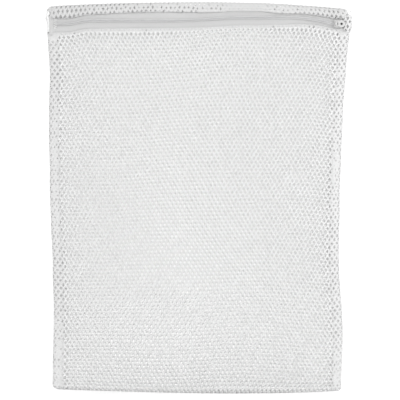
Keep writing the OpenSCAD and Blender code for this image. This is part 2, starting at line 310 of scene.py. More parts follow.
def billow(seed):
    """Heights of a slack sheet, held at its edges and blown outwards by cloth simulation; 1 at the top.

    Puckers form where the slack meets the seams, as they do on a real bag.
    """
    draw = np.random.default_rng(seed)
    columns, rows = SHEET_COLUMNS + 1, SHEET_ROWS + 1
    u, v = np.meshgrid(np.linspace(-HALF, HALF, columns), np.linspace(0, HEM_Z, rows), indexing="ij")
    held = inner(u, v)
    noise = draw.normal(0, START_NOISE, u.shape)
    start = START_LOFT * held + noise * held - START_CREASE * creases(u, v) * held
    at = np.arange(columns * rows).reshape(columns, rows)
    quads = np.stack([at[:-1, :-1], at[1:, :-1], at[1:, 1:], at[:-1, 1:]], -1).reshape(-1, 4)
    mesh = bpy.data.meshes.new("sheet")
    points = np.stack([u, -start, v], -1).reshape(-1, 3) * MM
    mesh.from_pydata(points.tolist(), [], quads.tolist())
    sheet = bpy.data.objects.new("sheet", mesh)
    bpy.context.scene.collection.objects.link(sheet)
    pins = sheet.vertex_groups.new(name="pins")
    pins.add(np.concatenate([at[0], at[-1], at[:, 0], at[:, -1]]).tolist(), 1.0, "REPLACE")
    modifier = sheet.modifiers.new("cloth", "CLOTH")
    cloth = modifier.settings
    cloth.vertex_group_mass = "pins"
    cloth.quality = 6
    cloth.mass = 0.05
    cloth.tension_stiffness = 12
    cloth.compression_stiffness = 6
    cloth.shear_stiffness = 2
    cloth.bending_stiffness = 0.02
    cloth.air_damping = 4
    cloth.shrink_min = -SLACK
    scene = bpy.context.scene
    gravity = scene.gravity.copy()
    scene.gravity = (0, -BLOW, 0)
    scene.frame_start, scene.frame_end = 1, FRAMES
    modifier.point_cache.frame_start, modifier.point_cache.frame_end = 1, FRAMES
    for frame_number in range(1, FRAMES + 1):
        scene.frame_set(frame_number)
    result = sheet.evaluated_get(bpy.context.evaluated_depsgraph_get()).to_mesh()
    heights = np.zeros(len(result.vertices) * 3)
    result.vertices.foreach_get("co", heights)
    heights = -heights.reshape(columns, rows, 3)[..., 1] / MM
    bpy.data.objects.remove(sheet)
    scene.gravity = gravity
    scene.frame_set(1)
    return heights / heights.max()


def sample(grid, u, v):
    """Smooth (Catmull-Rom) look-up of a sheet's heights at u, v."""
    columns, rows = grid.shape
    padded = np.pad(grid, 1, mode="edge")
    x = np.clip((u + HALF) / (2 * HALF), 0, 1) * (columns - 1)
    y = np.clip(v / HEM_Z, 0, 1) * (rows - 1)
    i = np.clip(x.astype(int), 0, columns - 2)
    j = np.clip(y.astype(int), 0, rows - 2)

    def weights(t):
        return (
            0.5 * (-t + 2 * t**2 - t**3),
            0.5 * (2 - 5 * t**2 + 3 * t**3),
            0.5 * (t + 4 * t**2 - 3 * t**3),
            0.5 * (-(t**2) + t**3),
        )

    wx, wy = weights(x - i), weights(y - j)
    total = 0.0
    for a in range(4):
        for b in range(4):
            near = padded[np.clip(i + a, 0, columns + 1), np.clip(j + b, 0, rows + 1)]
            total = total + wx[a] * wy[b] * near
    return total


front_sheet = billow(FRONT_SEED)
back_sheet = billow(BACK_SEED)
BACK_LOFT = 1.6  # the back lies almost flat
EDGE_WIDTH = 3.0  # how far in from the edge the faces reach the gap beside the seams
HEM_WIDTH = 8.0  # and the wider gap at the hem
FOLD_HEIGHT = 12.0  # how far up the bottom fold holds the faces apart
TOP_WIDTH = 6.0  # how far in from the edge the top fold is fully round


def front_surface(u, v):
    """Front face: u across, v up from the bottom fold to the hem under the zip."""
    share = np.clip(v / HEM_Z, 0, 1)
    inset = HALF - np.abs(u)
    edge = EDGE_GAP + (SEAM_GAP - EDGE_GAP) * smooth(inset / EDGE_WIDTH)
    base = edge + (BACK_Y - HEM_Y - edge) * smooth(inset / HEM_WIDTH) * share**3
    fold = np.clip(v / (BOTTOM_R * np.pi / 2), 0, 1)
    at_fold = BOTTOM_R * (1 + np.sin(fold * np.pi / 2))
    near_fold = smooth(1 - v / FOLD_HEIGHT)
    gap = np.where(fold < 1, at_fold, base + (2 * BOTTOM_R - base) * near_fold)
    y = BACK_Y - gap - LOFT * sample(front_sheet, u, v)
    z = np.where(fold < 1, BOTTOM_R * (1 - np.cos(fold * np.pi / 2)), v)
    x = across(u, z)
    return np.stack([x, y, settled(x, z)], -1)


BAND_DROP = HEIGHT - TOP_R - band_line(0.0)  # from the top fold to the band's edge
TURN_R = 0.4  # radius of the band's turned edge
LEAST_TURNED = 6.0  # least length of net turned up behind the band
FOLD_SLACK = BOTTOM_R * (np.pi / 2 - 1)  # net that the bottom fold takes up
BACK_RISE = BOTTOM_R * np.pi / 2 + HEIGHT - TOP_R - BOTTOM_R
UNTURNED = BACK_RISE + TOP_R * np.pi + BAND_DROP + TURN_R * np.pi
BACK_LENGTH = ROW_STEP * math.ceil((UNTURNED + LEAST_TURNED) / ROW_STEP)
TURNED = BACK_LENGTH - UNTURNED  # its length, with which whole rows fill the net


def back_surface(u, s):
    """Back face: s runs up the back, over the top fold, down the band and up its turned edge."""
    low_angle = np.clip(s / BOTTOM_R, 0, np.pi / 2)
    v = np.where(s < BOTTOM_R * np.pi / 2, BOTTOM_R * (1 - np.cos(low_angle)), s - FOLD_SLACK)
    v = np.minimum(v, HEIGHT - TOP_R)
    over = np.clip((s - BACK_RISE) / TOP_R, 0, np.pi)
    down = np.clip(s - BACK_RISE - TOP_R * np.pi, 0, BAND_DROP)
    turn = np.clip((s - BACK_RISE - TOP_R * np.pi - BAND_DROP) / TURN_R, 0, np.pi)
    up = np.clip(s - BACK_LENGTH + TURNED, 0, TURNED)
    in_front = BOTTOM_R * (1 - np.sin(low_angle)) + TOP_R * (1 - np.cos(over))
    in_front = in_front - TURN_R * (1 - np.cos(turn))
    pinched = EDGE_GAP / (2 * TOP_R)
    pinch = pinched + (1 - pinched) * smooth((HALF - np.abs(u)) / TOP_WIDTH)
    in_front = np.where(s > BACK_RISE, in_front * pinch, in_front)
    y = BACK_Y - in_front + BACK_LOFT * (sample(back_sheet, u, v) - inner(u, v)) * (v < HEM_Z)
    z = v + TOP_R * np.sin(over)
    x = across(u, np.where(down > 0, v, z))
    top = HEIGHT - TOP_R - top_drop(x)
    edge = band_line(x)
    z_band = top + (edge - top) * (down - up) / BAND_DROP - TURN_R * np.sin(turn)
    z = np.where(down > 0, z_band, settled(x, z))
    return np.stack([x, y, z], -1)


# ---------------- mesh helpers

def add_piece(name, points, faces, material):
    """A mesh object from points in millimetres and faces as an array or a list."""
    mesh = bpy.data.meshes.new(name)
    faces = faces if isinstance(faces, list) else faces.tolist()
    mesh.from_pydata((np.asarray(points) * MM).tolist(), [], faces)
    mesh.validate()
    mesh.update()
    mesh.shade_smooth()
    mesh.materials.append(material)
    obj = bpy.data.objects.new(name, mesh)
    bpy.context.scene.collection.objects.link(obj)
    return obj


SMALL_HOLE = 0.95  # holes with sides shorter than this are pressed nearly shut


def dimple_small_holes(obj, where):
    """Nearly closed holes shade as shallow dimples, so the short edges around them are sharp.

    where says of each vertex whether its net is pressed together.
    """
    mesh = obj.data
    co = np.array([v.co for v in mesh.vertices]) / MM
    ends = np.zeros(len(mesh.edges) * 2, int)
    mesh.edges.foreach_get("vertices", ends)
    first, second = ends.reshape(-1, 2).T
    length = np.linalg.norm(co[first] - co[second], axis=1)
    sharp = (length < SMALL_HOLE) & where[first] & where[second]
    mesh.attributes.new("sharp_edge", "BOOLEAN", "EDGE")
    mesh.attributes["sharp_edge"].data.foreach_set("value", sharp)


SLOPE_STEP = 0.25  # distance over which a surface's slope is taken


def normals(surface, u, v):
    """Unit normals of surface(u, v)."""
    du = surface(u + SLOPE_STEP, v) - surface(u - SLOPE_STEP, v)
    dv = surface(u, v + SLOPE_STEP) - surface(u, v - SLOPE_STEP)
    n = np.cross(du, dv)
    return n / np.maximum(np.linalg.norm(n, axis=-1, keepdims=True), 1e-9)


OPEN_U = 0.46  # share of a cell that is hole, across
OPEN_V = 0.48  # the same, up
STRETCH = 0.6  # 0 for even hexagons, 1 for diamonds: the net is pulled tall
FLOW_FADE = 12.0  # how far in from its rim a net's pattern starts to wander
KNIT_NOISE = 0.06  # unevenness of the holes

# Corners of a pointed-top hexagon in half pitches across and thirds of a row up
CORNERS = np.array([[0, 2], [-1, 1], [-1, -1], [0, -2], [1, -1], [1, 1]])


def hex_net(surface, u_range, v_range, flow, openness=None):
    """A knitted net of hexagonal cells as one closed mesh: every strand has a ridge on both sides.

    flow(u, v) moves the pattern within the surface, as stretched net does, and openness(u, v) shrinks
    the holes, as a doubled hem does. Returns points and quads.
    """
    (u0, u1), (v0, v1) = u_range, v_range
    rows = int(round((v1 - v0) / ROW_STEP))
    columns = int(round((u1 - u0) / PITCH))
    row_step = (v1 - v0) / rows
    half_pitch = (u1 - u0) / columns / 2
    r, c = np.meshgrid(np.arange(rows), np.arange(columns + 1), indexing="ij")
    centre_iu = (2 * c + 1 - (r % 2)).ravel()
    centre_iv = (3 * r + 1).ravel()
    keep = centre_iu <= 2 * columns
    centre = np.stack([centre_iu, centre_iv], -1)[keep]
    keys = centre[:, None, :] + CORNERS[None]
    flat_keys = keys.reshape(-1, 2)
    lattice, index = np.unique(flat_keys, axis=0, return_inverse=True)
    index = index.reshape(-1, 6)

    across_k, up_k = lattice[:, 0], lattice[:, 1]
    pulled = up_k + 0.5 + STRETCH * np.where(up_k % 3 == 0, 1, -1)
    pulled = np.where(up_k <= 0, 0, np.where(up_k >= 3 * rows - 1, 3 * rows, pulled))
    node = np.stack([np.clip(u0 + across_k * half_pitch, u0, u1), v0 + pulled * row_step / 3], -1)
    cell = node[index]
    middle = cell.mean(1, keepdims=True)
    scale = np.array([OPEN_U, OPEN_V]) * np.ones((len(cell), 1, 1))
    if openness:
        scale = scale * openness(middle[:, :, :1], middle[:, :, 1:])
    hole = (middle + (cell - middle) * scale).reshape(-1, 2)

    def moved(p):
        u, v = p.T
        fade = smooth((u - u0) / FLOW_FADE) * smooth((u1 - u) / FLOW_FADE)
        fade = fade * smooth((v - v0) / FLOW_FADE) * smooth((v1 - v) / FLOW_FADE)
        du, dv = flow(u, v)
        return u + du * fade, v + dv * fade

    nu, nv = moved(node)
    hu, hv = moved(hole)
    hu = hu + rng.normal(0, KNIT_NOISE, len(hu))
    hv = hv + rng.normal(0, KNIT_NOISE, len(hv))
    base = surface(nu, nv)
    thick = normals(surface, nu, nv) * NET_T / 2
    points = np.concatenate([base + thick, base - thick, surface(hu, hv)])
    count = len(node)
    nxt = np.roll(index, -1, axis=1)
    h = 2 * count + np.arange(len(hole)).reshape(-1, 6)
    h_next = np.roll(h, -1, axis=1)
    upper = np.stack([index, nxt, h_next, h], -1).reshape(-1, 4)
    lower = np.stack([nxt + count, index + count, h, h_next], -1).reshape(-1, 4)
    # close the rim along the lattice edges that only one cell uses
    edges = np.stack([index.ravel(), nxt.ravel()], -1)
    ordered = np.sort(edges, axis=1)
    _, first, uses = np.unique(ordered, axis=0, return_index=True, return_counts=True)
    border = edges[first[uses == 1]]
    rim = np.stack([border[:, 1], border[:, 0], border[:, 0] + count, border[:, 1] + count], -1)
    return points, np.concatenate([upper, lower, rim])


def tube(path, radius, sides=6):
    """A round thread along a path of points, with closed ends. Returns points and faces."""
    path = np.asarray(path, float)
    tangent = np.gradient(path, axis=0)
    tangent /= np.maximum(np.linalg.norm(tangent, axis=1, keepdims=True), 1e-9)
    helper = np.tile([0.31, 0.17, 0.93], (len(path), 1))
    side = np.cross(tangent, helper)
    side /= np.maximum(np.linalg.norm(side, axis=1, keepdims=True), 1e-9)
    other = np.cross(tangent, side)
    angle = np.arange(sides) * 2 * np.pi / sides
    ring = (
        path[:, None]
        + radius * np.cos(angle)[None, :, None] * side[:, None]
        + radius * np.sin(angle)[None, :, None] * other[:, None]
    )
    start = np.arange(len(path) - 1)[:, None] * sides
    here = np.arange(sides)[None]
    beside = (here + 1) % sides
    quads = np.stack([start + here, start + beside, start + sides + beside, start + sides + here], -1)
    first_cap = list(range(sides))[::-1]
    last_cap = [(len(path) - 1) * sides + i for i in range(sides)]
    return ring.reshape(-1, 3), quads.reshape(-1, 4).tolist() + [first_cap, last_cap]


def add_threads(name, tubes, material):
    """Several tubes as one piece."""
    points, faces, offset = [], [], 0
    for tube_points, tube_faces in tubes:
        points.append(tube_points)
        faces += [[corner + offset for corner in face] for face in tube_faces]
        offset += len(tube_points)
    return add_piece(name, np.concatenate(points), faces, material)


def ribbon(stations_u, stations_v, surface, thickness):
    """A thin closed strip of fabric over a surface(u, v). Returns points and quads."""
    u, v = np.meshgrid(stations_u, stations_v, indexing="ij")
    u, v = u.ravel(), v.ravel()
    base = surface(u, v)
    n = normals(surface, u, v)
    points = np.concatenate([base + n * thickness / 2, base - n * thickness / 2])
    nu, nv, count = len(stations_u), len(stations_v), len(u)
    at = np.arange(count).reshape(nu, nv)
    quad = np.stack([at[:-1, :-1], at[1:, :-1], at[1:, 1:], at[:-1, 1:]], -1).reshape(-1, 4)
    loop = np.concatenate([at[:, 0], at[-1, 1:], at[-2::-1, -1], at[0, -2:0:-1]])
    nxt = np.roll(loop, -1)
    rim = np.stack([nxt, loop, loop + count, nxt + count], -1)
    return points, np.concatenate([quad, quad[:, ::-1] + count, rim])


# ---------------- materials

def shader(name):
    """A new material, its node tree and its main shader."""
    material = bpy.data.materials.new(name)
    material.use_nodes = True
    tree = material.node_tree
    return material, tree, tree.nodes["Principled BSDF"]


def link(tree, source, target):
    tree.links.new(source, target)


def set_inputs(made, values):
    for key, value in values.items():
        made.inputs[key].default_value = value


def node(tree, kind, **settings):
    """A new node; each setting is one of its inputs or one of its properties."""
    made = tree.nodes.new(kind)
    for key, value in settings.items():
        if key in made.inputs:
            made.inputs[key].default_value = value
        else:
            setattr(made, key, value)
    return made


def texture(tree, kind, **settings):
    """The value of a texture in the object's own coordinates, which are in metres."""
    where = node(tree, "ShaderNodeTexCoord")
    made = node(tree, kind, **settings)
    link(tree, where.outputs["Object"], made.inputs["Vector"])
    return made.outputs["Fac"]


def summed(tree, first, second):
    made = node(tree, "ShaderNodeMath", operation="ADD")
    link(tree, first, made.inputs[0])
    link(tree, second, made.inputs[1])
    return made.outputs[0]


def remapped(tree, source, to_min, to_max, from_min=0.0, from_max=1.0):
    """The source's range between from_min and from_max, stretched over to_min to to_max."""
    made = node(tree, "ShaderNodeMapRange")
    set_inputs(made, {"From Min": from_min, "From Max": from_max, "To Min": to_min, "To Max": to_max})
    link(tree, source, made.inputs["Value"])
    return made.outputs["Result"]


def colour_between(tree, source, bsdf, stops):
    """Base colour that runs between two stops, each a position and a colour."""
    ramp = node(tree, "ShaderNodeValToRGB")
    for element, (position, colour) in zip(ramp.color_ramp.elements, stops):
        element.position = position
        element.color = (*colour, 1)
    link(tree, source, ramp.inputs["Fac"])
    link(tree, ramp.outputs["Color"], bsdf.inputs["Base Color"])


def relief(tree, height, bsdf, strength, distance):
    """A fine bump in the surface."""
    bump = node(tree, "ShaderNodeBump", Strength=strength, Distance=distance)
    link(tree, height, bump.inputs["Height"])
    link(tree, bump.outputs["Normal"], bsdf.inputs["Normal"])


TONE_SPREAD = 0.03  # how much lighter and darker than its tone a textile gets in places
PATCH_SCALE = 14.0  # of the wide patches in its tone
TWIST_PER_GRAIN = 0.35  # yarn twists for each grain of fibre
TEXTILE_RELIEF = 0.00015
SOAK_DEPTH = 0.002  # how far light soaks into the net


def textile(name, tone, grain_per_mm, bump, roughness, sheen, clear=0.0, glow=0.0):
    """White textile: uneven tone at two scales, fine yarn grain and a bump that follows it.

    clear is how much light soaks through where the fabric lies single; doubled fabric lets none through.
    glow stands for the light that reaches an inner layer through the layers around it.
    """
    material, tree, bsdf = shader(name)
    fine = 1000 * grain_per_mm
    patches = texture(tree, "ShaderNodeTexNoise", Scale=PATCH_SCALE, Detail=3.0)
    fibres = texture(tree, "ShaderNodeTexNoise", Scale=fine, Detail=2.0)
    uneven = summed(tree, patches, fibres)
    level = remapped(tree, uneven, tone - TONE_SPREAD, tone + TONE_SPREAD, from_min=0.6, from_max=1.4)
    colour = node(tree, "ShaderNodeCombineColor")
    for channel in ("Red", "Green", "Blue"):
        link(tree, level, colour.inputs[channel])
    shade = colour.outputs["Color"]
    if clear:
        # the colour is darkened by painted shade stored on the mesh: beside the seams, along the zip and
        # the overlocked edge, and at the top fold
        painted_shade = node(tree, "ShaderNodeAttribute", attribute_name="painted_shade")
        doubled = node(tree, "ShaderNodeAttribute", attribute_name="doubled")
        darker = node(tree, "ShaderNodeMix", data_type="RGBA", blend_type="MULTIPLY")
        darker.inputs["Factor"].default_value = 1.0
        link(tree, shade, darker.inputs["A"])
        link(tree, remapped(tree, painted_shade.outputs["Fac"], 1.0, 0.0), darker.inputs["B"])
        shade = darker.outputs["Result"]
        soaked = remapped(tree, doubled.outputs["Fac"], clear, 0.0)
        link(tree, soaked, bsdf.inputs["Subsurface Weight"])
    link(tree, shade, bsdf.inputs["Base Color"])
    twist = texture(
        tree, "ShaderNodeTexWave",
        Scale=fine * TWIST_PER_GRAIN, Distortion=2.0, bands_direction="DIAGONAL",
    )
    relief(tree, summed(tree, twist, fibres), bsdf, bump, TEXTILE_RELIEF)
    set_inputs(bsdf, {
        "Roughness": roughness,
        "Sheen Weight": sheen,
        "Sheen Roughness": 0.5,
        "Specular IOR Level": 0.3,
        "Subsurface Radius": (1, 1, 1),
        "Subsurface Scale": SOAK_DEPTH,
        "Emission Color": (1, 1, 1, 1),
        "Emission Strength": glow,
    })
    return material


NET = {"grain_per_mm": 2.2, "bump": 0.5, "roughness": 0.6, "sheen": 0.05}
TAPE = {"grain_per_mm": 1.6, "bump": 0.6, "roughness": 0.75, "sheen": 0.1}
THREAD = {"grain_per_mm": 3.0, "bump": 0.5, "roughness": 0.55, "sheen": 0.05}
net_inside_white = textile("net_inside_white", 0.80, **NET, glow=0.22)
net_end_white = textile("net_end_white", 0.82, **NET)
net_white = textile("net_white", 0.92, **NET, clear=1.0)
net_back_white = textile("net_back_white", 0.93, **NET, clear=1.0)
tape_white = textile("tape_white", 0.635, **TAPE)
thread_white = textile("thread_white", 0.90, **THREAD)


def coil_material():
    """Slightly clear white nylon, duller than the tape."""
    material, tree, bsdf = shader("coil_nylon")
    grain = texture(tree, "ShaderNodeTexNoise", Scale=900.0, Detail=2.0)
    colour_between(tree, grain, bsdf, ((0.0, (0.64, 0.64, 0.65)), (1.0, (0.72, 0.72, 0.73))))
    relief(tree, grain, bsdf, 0.2, 0.00005)
    soaked = {"Subsurface Weight": 0.15, "Subsurface Radius": (0.001, 0.001, 0.001)}
    set_inputs(bsdf, {"Roughness": 0.35, **soaked})
    return material


def enamel_material():
    """White enamel over die-cast metal: a faint orange peel and worn, greyer spots."""
    material, tree, bsdf = shader("slider_enamel")
    peel = texture(tree, "ShaderNodeTexNoise", Scale=1400.0, Detail=2.0)
    wear = texture(tree, "ShaderNodeTexNoise", Scale=420.0, Detail=4.0)
    colour_between(tree, wear, bsdf, ((0.3, (0.57, 0.57, 0.56)), (0.6, (0.65, 0.65, 0.65))))
    relief(tree, peel, bsdf, 0.15, 0.00005)
    bsdf.inputs["Roughness"].default_value = 0.3
    return material


def steel_material():
    """Unpainted steel with a fine grain and worn spots; its near-black colour is partly the steel's own
    and partly painted shade of the deep hole behind the pull's eye.
    """
    material, tree, bsdf = shader("pin_steel_and_hole_shade")
    grain = texture(tree, "ShaderNodeTexNoise", Scale=2500.0, Detail=3.0)
    # near black: painted shade of the hole behind the pull's eye on top of the steel's own dark tone
    colour_between(tree, grain, bsdf, ((0.0, (0.02, 0.02, 0.022)), (1.0, (0.06, 0.06, 0.065))))
    link(tree, remapped(tree, grain, 0.45, 0.7), bsdf.inputs["Roughness"])
    bsdf.inputs["Metallic"].default_value = 0.6
    return material


coil_nylon = coil_material()
pin_steel_and_hole_shade = steel_material()
slider_enamel = enamel_material()

# ---------------- the lip's swing with the mouth, and placing the pieces

LIP_SAG = 130.0  # how far below the zip the front face gives when the mouth opens
OPENED_SLIDER_REACH = 9.0  # from the middle of the opened slider to the right, past its pull
TACK_REACH = 4.0  # from the right tack to the left, where the lip starts to swing
MOUTH_POWER = 0.9  # below 1, the mouth opens wide soon after its ends


def mouth(x):
    """Share of the lip's swing: none up to the opened slider or at the right tack, all in the middle."""
    left = SLIDER_X - ZIP_TRAVEL + OPENED_SLIDER_REACH
    right = right_tack_low[0] - TACK_REACH
    t = np.clip((x - left) / (right - left), 0, 1)
    return np.sin(np.pi * t) ** MOUTH_POWER


def open_with_mouth(obj, sag=None):
    """Bakes the piece's transform and works out its share of the lip's swing, all at mid-zip and none at
    the ends; the shares are not applied.
    """
    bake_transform(obj)
    co = np.array([v.co for v in obj.data.vertices]) / MM
    weight = mouth(co[:, 0])
    if sag:
        weight = weight * smooth((co[:, 2] - (ZIP_Z - sag)) / sag)


def place(obj, stands_for=None, on_lip=False, sag=None):
    """Hides the CAD node that a piece stands for; the piece rides the bag, or, on the lip, has its
    transform baked and its swing worked out.
    """
    if stands_for:
        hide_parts(stands_for)
    if on_lip:
        open_with_mouth(obj, sag)
    else:
        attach(obj, "bag")


# ---------------- net

# Waves in the knit: height, length across, length up and phase
FRONT_SIDEWAYS = ((1.6, 90, 37, 0.0), (0.8, math.inf, 17, 1.0))
FRONT_UP = ((1.4, 41, math.inf, 0.5), (0.7, 23, -60, 0.0))
BACK_SIDEWAYS = ((0.4, 70, 52, 0.0),)
BACK_UP = ((0.35, 47, math.inf, 2.2),)


def waves(u, v, table):
    """Sum of a table's waves at u, v."""
    return sum(height * np.sin(u / wide + v / tall + phase) for height, wide, tall, phase in table)


def still(u, v):
    """A net whose pattern doesn't wander."""
    return 0 * u, 0 * v


def front_flow(u, v):
    return waves(u, v, FRONT_SIDEWAYS), waves(u, v, FRONT_UP)


def back_flow(u, s):
    """The back is the same length of net, so it is pulled much as the front is."""
    du, dv = front_flow(u, s)
    return du + waves(u, s, BACK_SIDEWAYS), dv - FOLD_SLACK + waves(u, s, BACK_UP)


# By how much the holes shrink where the net is doubled or folded, and the zones where they do
HEM_SHRINK, HEM_ZONE, HEM_SOFT = 0.56, 9.0, 6.0
SIDE_SHRINK, SIDE_ZONE, SIDE_SOFT = 0.45, 14.0, 3.0
BOTTOM_SHRINK, BOTTOM_ZONE, BOTTOM_SOFT = 0.3, 4.5, 3.0
BAND_SHRINK, BAND_START, BAND_SOFT = 0.48, 4.0, 4.0
TOP_SHRINK, TOP_ZONE = 0.7, 3.0


def front_openness(u, v):
    """The doubled hem, the side seams and the bottom fold press the holes together."""
    at_hem = near(HEM_Z - v, HEM_ZONE, HEM_SOFT)
    at_side = near(HALF - np.abs(u), SIDE_ZONE, SIDE_SOFT)
    at_bottom = near(v, BOTTOM_ZONE, BOTTOM_SOFT)
    return (1 - HEM_SHRINK * at_hem) * (1 - BOTTOM_SHRINK * at_bottom) * (1 - SIDE_SHRINK * at_side)


def back_openness(u, s):
    """Folds press the net together, and the band above the zip is doubled."""
    at_top = hill(s - BACK_RISE - TOP_R * np.pi / 2, TOP_ZONE)
    band = eased(s - BACK_RISE, BAND_START, BAND_SOFT)
    at_bottom = near(s, BOTTOM_ZONE, BOTTOM_SOFT)
    return (1 - TOP_SHRINK * at_top) * (1 - BAND_SHRINK * band) * (1 - BOTTOM_SHRINK * at_bottom)


SEAM_ZONE, SEAM_SOFT = 13.0, 3.0  # width of the doubled strip beside a side seam
OVERLOCK_LINE, LINE_SPREAD = 10.0, 1.4 # inset of the overlocked edge, which shows through the net as a line of painted shade
FOLD_SPREAD = 1.5  # height of the top fold's line of painted shade
ZIP_SOFT = 4.0  # softness of the doubled strips' edges along the zip
# how much painted shade darkens the net's colour beside the seams, along the overlocked edge, along the
# zip and at the top fold
SEAM_SHADE, OVERLOCK_SHADE, ZIP_SHADE, FOLD_SHADE = 0.17, 0.08, 0.26, 0.12
PRESSED = 0.4  # share of doubling from which small holes count as dimples
BAND_DOUBLED = 5.0  # how far the doubled strips reach past the net's two edges
HEM_DOUBLED = 6.0


def mark_doubled_and_shade(obj, line, furthest_y):
    """Records where a net lies doubled, beside the seams and along the zip, and the painted shade that
    darkens its colour there, along the overlocked edge and at the top fold.

    line(x) is where the strip along the zip starts, and net behind furthest_y isn't part of that strip.
    """
    co = np.array([v.co for v in obj.data.vertices]) / MM
    x, y, z = co.T
    inset = np.where(x < lean(z), half_width(z, -1), half_width(z, 1)) - np.abs(x - lean(z))
    beside_seam = near(inset, SEAM_ZONE, SEAM_SOFT)
    along_zip = eased(z, line(x), ZIP_SOFT) * (y < furthest_y)
    # painted shade: a darker line where the overlocked edge shows through the net, and along the top
    # fold's edge
    overlock = OVERLOCK_SHADE * hill(inset - OVERLOCK_LINE, LINE_SPREAD)
    top_fold_shade = FOLD_SHADE * hill(HEIGHT - top_drop(x) - z, FOLD_SPREAD)
    doubled = np.maximum(beside_seam, along_zip)
    painted_shade = np.maximum(SEAM_SHADE * beside_seam + overlock, ZIP_SHADE * along_zip + top_fold_shade)
    for name, amount in (("doubled", doubled), ("painted_shade", painted_shade)):
        obj.data.attributes.new(name, "FLOAT", "POINT")
        obj.data.attributes[name].data.foreach_set("value", amount.astype(np.float32))
    dimple_small_holes(obj, doubled > PRESSED)


points, faces = hex_net(front_surface, (-HALF, HALF), (0.0, HEM_Z), front_flow, front_openness)
front_net = add_piece("front_net", points, faces, net_white)
mark_doubled_and_shade(front_net, lambda x: hem_line(x) - HEM_DOUBLED, BACK_Y)
place(front_net, "front_mesh_panel", on_lip=True, sag=LIP_SAG)

points, faces = hex_net(back_surface, (-HALF, HALF), (0.0, BACK_LENGTH), back_flow, back_openness)
back_net = add_piece("back_net", points, faces, net_back_white)
mark_doubled_and_shade(back_net, lambda x: band_line(x) - BAND_DOUBLED, BACK_Y - TOP_R / 2)
place(back_net, "back_mesh_panel")

# ---------------- side seams

SEAM_LOW = 5.0
SEAM_HIGH = HEIGHT - 8.0
ALLOWANCE_DEPTHS = (0.8, 1.6)  # the two turned-in edges, measured forward from the back face
ALLOWANCE_W = 10.5  # width of the strips before they are fitted to the seam
RIGHT_ALLOWANCE = 10.0
LEFT_ALLOWANCE = 9.5
LEFT_WIDENS, LEFT_WIDE_Z, LEFT_WIDE_SOFT = 5.5, 290.0, 230.0
ALLOWANCE_INSET = 0.5  # from the side edge to the strips
ALLOWANCE_OPENNESS = 0.4
TURN_AT_EDGE, TURN_WIDTH = 0.4, 2.0  # how the strips leave the back face beside the edge
FLUTTER, FLUTTER_LENGTH = 0.12, 23.0
OVERLOCK_PITCH = 2.7
OVERLOCK_W = 3.6
OVERLOCK_R = 0.17  # radius of its threads
OVERLOCK_OUT = 0.25  # how far the loops reach past the strips' inner edge
OVERLOCK_DEPTH = 0.7  # how far they stand out on both sides
NEEDLE_LINES = (OVERLOCK_W, OVERLOCK_W - 1.8)
NEEDLE_DEPTH, NEEDLE_WAVE = 0.8, 0.2


def allowance_width(side, z):
    """The left allowance widens towards the bottom; the right one is even."""
    if side < 0:
        return LEFT_ALLOWANCE + LEFT_WIDENS * near(z, LEFT_WIDE_Z, LEFT_WIDE_SOFT)
    return RIGHT_ALLOWANCE + 0.0 * z


def seam_point(side, inset, y, z):
    """A point inset from the side edge at height z, lifted with the bottom corners."""
    edge = across(side * HALF, z)
    x = edge - side * inset
    share = np.clip(z / HEM_Z, 0, 1)
    return np.stack([x, y, z + bottom_lift(x) * (1 - share) ** BOTTOM_FADE], -1)


def allowance_net(side, depth):
    """A strip of turned-in net, two and a bit cells wide."""
    def surface(u, v):
        t = np.clip(u / ALLOWANCE_W, 0, 1)
        flutter = FLUTTER * np.sin(v / FLUTTER_LENGTH + depth)
        y = BACK_Y - depth * smooth(u / TURN_WIDTH + TURN_AT_EDGE) + flutter * t
        inset = ALLOWANCE_INSET + t * (allowance_width(side, v) - ALLOWANCE_INSET)
        return seam_point(side, inset, y, v)

    heights = (SEAM_LOW, SEAM_HIGH)
    return hex_net(surface, (0.0, ALLOWANCE_W), heights, still, lambda u, v: ALLOWANCE_OPENNESS)


def overlock_threads(side):
    """Two looping threads that wrap the allowance's inner edge, and the two needle threads."""
    middle = BACK_Y - sum(ALLOWANCE_DEPTHS) / 2
    tubes = []
    t = np.arange(0, (SEAM_HIGH - SEAM_LOW) / OVERLOCK_PITCH * 2 * np.pi, np.pi / 6)
    z = SEAM_LOW + t / (2 * np.pi) * OVERLOCK_PITCH
    for phase in (0.0, np.pi):
        inset = allowance_width(side, z) + OVERLOCK_OUT - OVERLOCK_W / 2 * (1 - np.cos(t + phase))
        y = middle - OVERLOCK_DEPTH * np.sin(t + phase)
        tubes.append(tube(seam_point(side, inset, y, z), OVERLOCK_R, 5))
    z = np.arange(SEAM_LOW, SEAM_HIGH, OVERLOCK_PITCH / 4)
    for reach in NEEDLE_LINES:
        y = middle - NEEDLE_DEPTH + NEEDLE_WAVE * np.cos(z * 2 * np.pi / OVERLOCK_PITCH)
        tubes.append(tube(seam_point(side, allowance_width(side, z) - reach, y, z), OVERLOCK_R, 5))
    return tubes


for name, side in (("left", -1), ("right", 1)):
    (back_points, back_faces), (front_points, front_faces) = (
        allowance_net(side, depth) for depth in ALLOWANCE_DEPTHS)
    points = np.concatenate([back_points, front_points])
    faces = np.concatenate([back_faces, front_faces + len(back_points)])
    strip = add_piece(f"{name}_seam_allowance", points, faces, net_inside_white)
    dimple_small_holes(strip, np.full(len(points), True))
    place(strip)
    thread = add_threads(f"{name}_overlock", overlock_threads(side), thread_white)
    place(thread, f"{name}_seam_overlock")

# ---------------- zip tapes

TAPE_T = 0.5
END_R = 1.4  # radius with which a tape turns back at its ends
LEFT_END = -152.4  # outside of the left turn
RIGHT_INSET = 1.0  # from the bag's right edge to the outside of the right turn
TAPE_START, TAPE_END = LEFT_END - 1.5, HALF + 7  # along the tape, with the parts that turn back
TAPE_STEP = 0.8
TAPE_ROWS = 37
RIBS, RIB_HEIGHT = 9, 0.05
RIPPLE, RIPPLE_LENGTH = 0.1, 9.0
TACK_EASE = 3.0  # over which the tapes part beside the left tack


